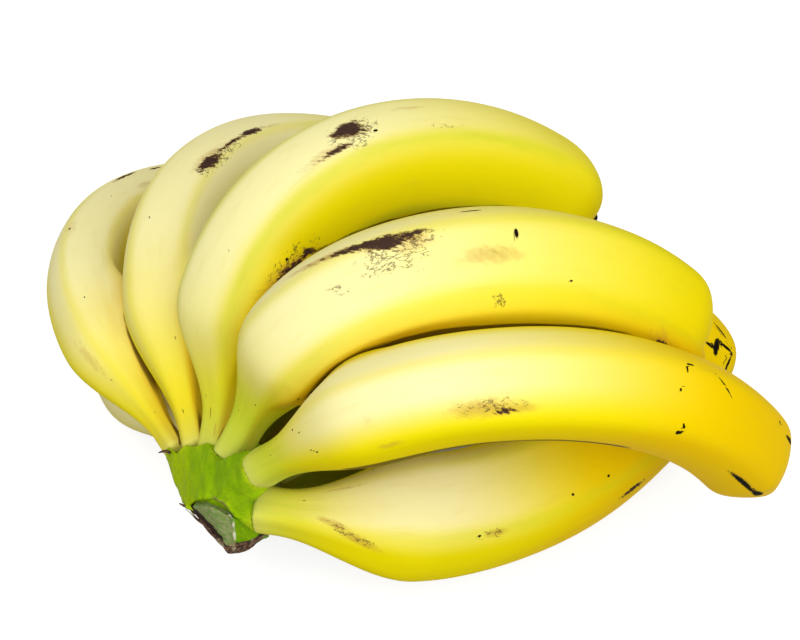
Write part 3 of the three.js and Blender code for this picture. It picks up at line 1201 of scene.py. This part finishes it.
def make_rim(material, settings):
    """The torn edge of dead fibre that runs along the front of the cut."""
    rng = np.random.default_rng(4)
    down = Vector((-0.2, -0.35, -0.9)).normalized()
    out = Vector((-0.1, -0.95, 0.3)).normalized()
    lines = []
    for _ in range(settings.fibres):
        start, end = sorted(rng.uniform(0, 1, 2))
        if end - start < 0.3:
            start, end = max(0, start - 0.2), min(1, end + 0.2)
        low, far, wave = rng.uniform(-1.2 - 1.8 * end, 0.5), rng.uniform(-0.4, 0.7), rng.uniform(0, 6)
        points = []
        for share in np.linspace(start, end, 25):
            drift = 0.3 * math.sin(wave + 9 * share) + 0.15 * math.sin(2 * wave + 31 * share)
            points.append(along_path(CUT_EDGE, share) + down * (low + drift) + out * (far + 0.4 * drift))
        lines.append((points, rng.uniform(0.18, 0.5)))
    for share, reach in TUFTS:
        foot = along_path(CUT_EDGE, share)
        way = Vector((-1 if share < 0.6 else 1, 0.35, rng.uniform(-0.2, 0.35))).normalized()
        lines.append(([foot + way * far for far in np.linspace(-3, reach, 8)], 0.35))
    strands("cut_rim", lines, material)


def make_bract(material):
    """The dry scale that is left beside the first neck."""
    tip = Vector((-16, 18, 1))
    root = Vector((-11, 20, -1))
    bend = Vector((0, 0, 1.2))
    lines = []
    for k in range(3):
        shift = Vector((0.2, -0.5, 0.35)) * k
        points = [root.lerp(tip, i / 9) + shift + bend * math.sin(2.6 * i / 9) for i in range(10)]
        lines.append((points, 0.5 - 0.1 * k))
    strands("dry_bract", lines, material)


# ---- settings, operators and panel ---------------------------------------------------------------


def color_setting(name, description, code):
    return bpy.props.FloatVectorProperty(
        name=name, description=description, default=linear(code), size=4, min=0, max=1, subtype="COLOR"
    )


def share_setting(name, description, default):
    return bpy.props.FloatProperty(
        name=name, description=description, default=default, min=0, max=2, subtype="FACTOR"
    )


def length_setting(name, description, default):
    return bpy.props.FloatProperty(
        name=name, description=description, default=default, min=0, unit="LENGTH"
    )


def count_setting(name, description, default):
    return bpy.props.IntProperty(name=name, description=description, default=default, min=1)


class HandSettings(bpy.types.PropertyGroup):
    """Sizes and colours of the hand that a user would change."""

    deep: color_setting("Deep yellow", "Ripe peel away from the sun", "EEDC02")
    # Colour of the painted sheen, partly real bleaching.
    pale: color_setting("Pale yellow", "Peel on the bleached side", "F9EFB0")
    # Warm yellow is also the painted shade on the undersides.
    warm: color_setting("Warm yellow", "Peel underneath and at the tips", "F2C600")
    foot: color_setting("Neck foot", "Pale ring where a neck leaves the crown", "D6D67C")
    # Colour of the painted shade on the inner necks and the crown's inner side.
    olive_shade: color_setting("Dull olive", "Shaded peel of the inner necks", "3E3C0C")
    crease: color_setting("Crease", "Warm peel in the shade of the next finger", "E2A40C")
    # Colour of the painted shade where fingers meet.
    contact_shade_color: color_setting("Rubbed brown", "Where fingers lie against each other", "4A3308")
    green: color_setting("Neck green", "Peel of an unripe neck", "BCCB28")
    grain: color_setting("Grain", "Fine lines in the peel", "D9C22C")
    scar: color_setting("Scar", "Rubbed, corky peel", "B98A34")
    brown: color_setting("Brown", "Edge of a bruise", "7E5626")
    bruise: color_setting("Bruise", "Middle of a bruise", "3B2926")
    black: color_setting("Black", "Cracks and the dry tip", "17120E")
    crown: color_setting("Crown green", "Skin of the crown", "A4CA0C")
    crown_deep: color_setting("Deep crown green", "Clouds in the crown's skin", "7AA208")
    crown_left: color_setting("Yellow crown green", "Crown on its yellower side", "A6BE08")
    crown_pale: color_setting("Pale crown green", "Crown beside the necks", "B4C41C")
    stub: color_setting("Stub", "Grey-green dusty skin of the cut stub", "78924F")
    stub_fresh: color_setting("Fresh stub", "Green skin of the cut stub", "5E9A06")
    cream: color_setting("Cream", "Pale crack in the stub", "E3DEC0")
    cork: color_setting("Cork", "Healed bumps on the lip of the crown", "9C9050")
    fibre: color_setting("Fibre", "Bare pale fibre", "A99F78")
    dried: color_setting("Dried", "Dry brown fibre", "7A5A42")
    dried_dark: color_setting("Dark dried", "Hollows in the dry fibre", "2E2018")
    ridge: share_setting("Ridges", "Share of the radius that is added to each ridge", 0.014)
    flare: share_setting("Neck flare", "Share by which a neck widens at the crown", 0.2)
    flare_reach: length_setting("Flare reach", "Length of the flare", 3 * MM)
    nub: length_setting("Tip nub", "Height of the dry tip", 2.6 * MM)
    seat: share_setting("Seat", "Width of the crown under a neck against that neck", 1.04)
    crown_softness: count_setting("Crown softness", "Passes that even out the crown", 8)
    fibres: count_setting("Fibres", "Dead fibres along the cut", 34)
    fineness: count_setting("Fineness", "Subdivisions of the outer fingers, one more than the inner", 3)


def material(name, make, settings):
    """The material of that name, made the first time that it is asked for."""
    return bpy.data.materials.get(name) or make(settings)


class HAND_OT_crown_skin(bpy.types.Operator):
    """Makes the green skin from which the necks come"""

    bl_idname = "hand.crown_skin"
    bl_label = "Crown skin"

    def execute(self, context):
        settings = context.scene.hand
        make_crown_skin(material("crown_skin", crown_material, settings), settings)
        return {"FINISHED"}


class HAND_OT_cut_stub(bpy.types.Operator):
    """Makes the stub of the stalk that was cut"""

    bl_idname = "hand.cut_stub"
    bl_label = "Cut stub"

    def execute(self, context):
        make_stub(material("cut_stub", stub_material, context.scene.hand))
        return {"FINISHED"}


class HAND_OT_cut_rim(bpy.types.Operator):
    """Makes the torn brown fibres along the cut"""

    bl_idname = "hand.cut_rim"
    bl_label = "Cut rim"

    def execute(self, context):
        settings = context.scene.hand
        make_rim(material("dried_fibre", dried_material, settings), settings)
        return {"FINISHED"}


class HAND_OT_dry_bract(bpy.types.Operator):
    """Makes the dry scale beside the first neck"""

    bl_idname = "hand.dry_bract"
    bl_label = "Dry bract"

    def execute(self, context):
        make_bract(material("dried_fibre", dried_material, context.scene.hand))
        return {"FINISHED"}


class HAND_OT_outer_row(bpy.types.Operator):
    """Makes the six fingers of the outer row"""

    bl_idname = "hand.outer_row"
    bl_label = "Outer row"

    def execute(self, context):
        settings = context.scene.hand
        peel = material("banana_peel", peel_material, settings)
        for node in OUTER_ROW:
            make_finger(node, peel, settings.fineness, settings)
        return {"FINISHED"}


class HAND_OT_inner_row(bpy.types.Operator):
    """Makes the four fingers of the inner row"""

    bl_idname = "hand.inner_row"
    bl_label = "Inner row"

    def execute(self, context):
        settings = context.scene.hand
        peel = material("banana_peel", peel_material, settings)
        for node in INNER_ROW:
            make_finger(node, peel, settings.fineness - 1, settings)
        return {"FINISHED"}


class HAND_OT_stage(bpy.types.Operator):
    """Makes the floor, the lights and the camera"""

    bl_idname = "hand.stage"
    bl_label = "Stage"

    def execute(self, context):
        make_stage(context.scene)
        return {"FINISHED"}


OPERATORS = (
    HAND_OT_crown_skin,
    HAND_OT_cut_stub,
    HAND_OT_cut_rim,
    HAND_OT_dry_bract,
    HAND_OT_outer_row,
    HAND_OT_inner_row,
    HAND_OT_stage,
)


class HAND_PT_panel(bpy.types.Panel):
    """Lists the parts of the hand in the sidebar"""

    bl_label = "Hand of bananas"
    bl_idname = "HAND_PT_panel"
    bl_space_type = "VIEW_3D"
    bl_region_type = "UI"
    bl_category = "Hand of bananas"

    def draw(self, context):
        for operator in OPERATORS:
            self.layout.operator(operator.bl_idname)
        for name in HandSettings.__annotations__:
            self.layout.prop(context.scene.hand, name)


# ---- stage --------------------------------------------------------------------------------------

FLOOR_SIZE = 6
FLOOR_GREY = 0.38
FLOOR_GLOW = 0.8
GLOW_MIDDLE = (0.01, 0.03, 0)  # a point under the hand, from which the glow's edge is measured
GLOW_EDGE = (0.035, 0.1)  # the glow begins between these distances from it
SKY_LIGHT = 0.51  # strength of the world's light on the hand
LIT_POINT = (0, 0, 0.05)  # where the lamps look
CAMERA_LENS = 85
CAMERA_CLIMB = math.radians(37)  # angle at which the camera looks down
CAMERA_DISTANCE = 597.8 * MM
CAMERA_AIM = Vector((55.4, 73.3, 9.0)) * MM  # where it looks, from the crown's middle


def seen(paint):
    """1 for rays that reach the camera straight, or by way of gloss or glass, and else 0."""
    path = paint.node("ShaderNodeLightPath")
    mask = path
    for ray in ("Is Glossy Ray", "Is Transmission Ray"):
        mask = mask.maximum(Socket(paint, path.output.node.outputs[ray]))
    return mask


def make_floor(scene):
    """A plain floor that keeps the hand's shadow and looks white beyond it, with a painted shadow under the
    hand.
    """
    bm = bmesh.new()
    bmesh.ops.create_grid(bm, x_segments=1, y_segments=1, size=FLOOR_SIZE)
    mesh = bpy.data.meshes.new("floor")
    bm.to_mesh(mesh)
    bm.free()
    floor = bpy.data.objects.new("floor", mesh)
    scene.collection.objects.link(floor)
    paint = Paint("floor_white")
    matt = paint.node("ShaderNodeBsdfDiffuse", None, {"Color": (FLOOR_GREY, FLOOR_GREY, FLOOR_GREY, 1)})
    # The floor's own glow fades out in a disc under the hand, a painted shadow that shows between the
    # fingers.
    place = paint.node("ShaderNodeTexCoord", None, (), "Object")
    far = paint.vector("LENGTH", paint.vector("SUBTRACT", place, GLOW_MIDDLE), output="Value")
    strength = seen(paint) * far.step(*GLOW_EDGE) * FLOOR_GLOW
    glow = paint.node("ShaderNodeEmission", None, {"Color": (1, 1, 1, 1), "Strength": strength})
    both = paint.node("ShaderNodeAddShader", None, (matt, glow))
    paint.node("ShaderNodeOutputMaterial", None, {"Surface": both})
    mesh.materials.append(paint.material)


def make_sky(scene):
    """A world that lights the hand softly and looks white."""
    scene.world = bpy.data.worlds.new("studio")
    scene.world.use_nodes = True
    sky = Paint("studio", scene.world.node_tree)
    strength = seen(sky) * (1 - SKY_LIGHT) + SKY_LIGHT
    light = sky.node("ShaderNodeBackground", None, {"Color": (1, 1, 1, 1), "Strength": strength})
    sky.node("ShaderNodeOutputWorld", None, (light,))


def area_light(name, place, size, power):
    light = bpy.data.lights.new(name, "AREA")
    light.shape = "DISK"
    light.size = size
    light.energy = power
    lamp = bpy.data.objects.new(name, light)
    lamp.location = place
    lamp.rotation_euler = (Vector(LIT_POINT) - Vector(place)).to_track_quat("-Z", "Y").to_euler()
    bpy.context.scene.collection.objects.link(lamp)


def make_camera(scene):
    camera_data = bpy.data.cameras.new("camera")
    camera_data.lens = CAMERA_LENS
    camera_data.sensor_width = 36
    camera = bpy.data.objects.new("camera", camera_data)
    back = Vector((0, -math.cos(CAMERA_CLIMB), math.sin(CAMERA_CLIMB)))
    camera.location = MIDDLE + CAMERA_AIM + back * CAMERA_DISTANCE
    camera.rotation_euler = (math.pi / 2 - CAMERA_CLIMB, 0, 0)
    scene.collection.objects.link(camera)
    scene.camera = camera


def make_stage(scene):
    make_floor(scene)
    make_sky(scene)
    area_light("key", (-0.4, -0.55, 1.2), 1.0, 5.0)
    area_light("fill", (0.4, -1.2, 0.75), 1.4, 14.0)
    make_camera(scene)
    scene.view_settings.view_transform = "Standard"


CLASSES = (HandSettings, *OPERATORS, HAND_PT_panel)


def register():
    for cls in CLASSES:
        bpy.utils.register_class(cls)
    bpy.types.Scene.hand = bpy.props.PointerProperty(type=HandSettings)


def unregister():
    del bpy.types.Scene.hand
    for cls in reversed(CLASSES):
        bpy.utils.unregister_class(cls)


def main():
    register()
    bpy.ops.hand.crown_skin()
    bpy.ops.hand.cut_stub()
    bpy.ops.hand.cut_rim()
    bpy.ops.hand.dry_bract()
    bpy.ops.hand.outer_row()
    bpy.ops.hand.inner_row()
    bpy.ops.hand.stage()


if __name__ == "__main__":
    main()
